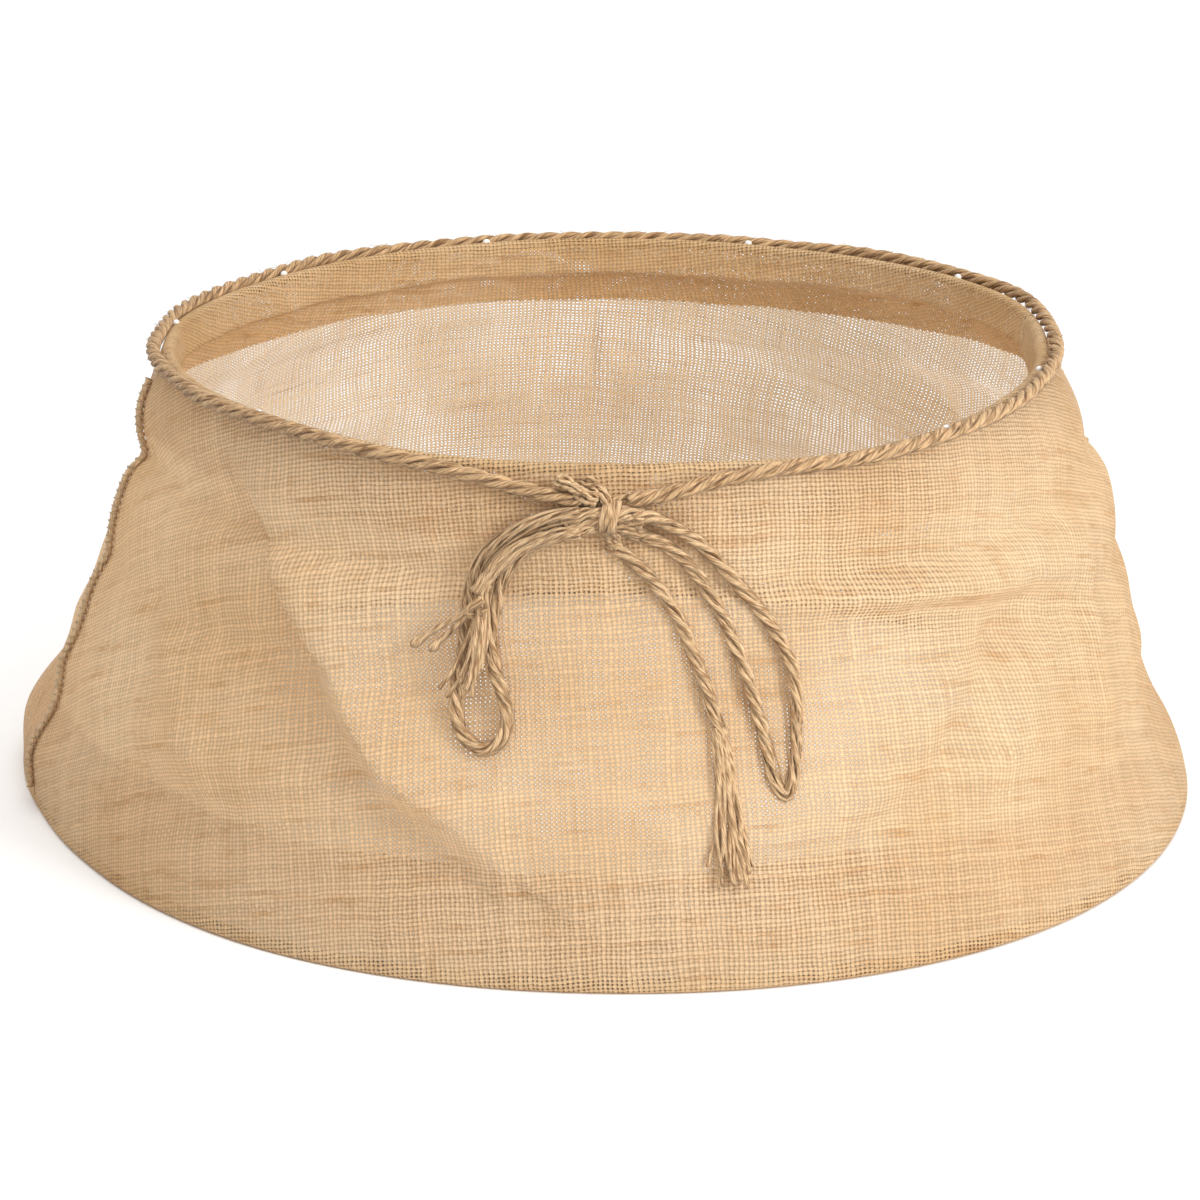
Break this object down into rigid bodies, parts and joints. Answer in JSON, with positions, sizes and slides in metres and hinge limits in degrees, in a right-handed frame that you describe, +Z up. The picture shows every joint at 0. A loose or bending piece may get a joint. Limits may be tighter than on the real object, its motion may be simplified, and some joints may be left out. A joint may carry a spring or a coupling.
{
  "type": "tree skirt",
  "caption": "Flared burlap collar that hides a tree stand: a cloth sleeve between two wire hoops, with a rope tied in a bow round the rim.",
  "frame": {"origin": "centre of the base hoop's circle, on the floor", "axes": "+Z up along the sleeve's axis; -Y towards the bow; +X to the right seen from the bow's side"},
  "size_m": [0.6614, 0.6614, 0.2535],
  "materials": {
    "burlap": "plain weave, open, matt",
    "turned_burlap": "plain weave, open, matt",
    "jute_rope": "three-strand laid, hairy",
    "hoop_wire": "drawn wire",
    "crimp_sleeve": "crimped",
    "nylon_tack": "white, cloudy"
  },
  "bodies": {
    "base": {"front_panel": "burlap", "back_panel": "burlap", "left_side_seam": "burlap", "right_side_seam": "burlap", "front_bottom_hem": "turned_burlap", "back_bottom_hem": "turned_burlap", "bottom_hoop": "hoop_wire", "bottom_hoop_splice": "crimp_sleeve", "left_bow_loop": "jute_rope", "right_bow_loop": "jute_rope", "left_tail": "jute_rope", "right_tail": "jute_rope", "left_tail_knot": "jute_rope", "left_tassel": "jute_rope", "right_tassel": "jute_rope"},
    "rim": {"front_top_facing": "turned_burlap", "back_top_facing": "turned_burlap", "top_hoop": "hoop_wire", "top_hoop_splice": "crimp_sleeve", "rim_rope": "jute_rope", "bow_knot": "jute_rope", "knot_turn": "jute_rope", "rope_tack_01": "nylon_tack", "rope_tack_02": "nylon_tack", "rope_tack_03": "nylon_tack", "rope_tack_04": "nylon_tack", "rope_tack_05": "nylon_tack", "rope_tack_06": "nylon_tack", "rope_tack_07": "nylon_tack", "rope_tack_08": "nylon_tack"}
  },
  "joints": [
    {"name": "rim_drop", "type": "slide", "parent": "base", "child": "rim", "axis": [0, 0, -1], "range_m": [0, 0.19], "deforming": ["front_panel", "back_panel", "left_side_seam", "right_side_seam", "front_bottom_hem", "back_bottom_hem", "left_bow_loop", "right_bow_loop", "left_tail", "right_tail", "left_tail_knot", "left_tassel", "right_tassel"]}
  ]
}
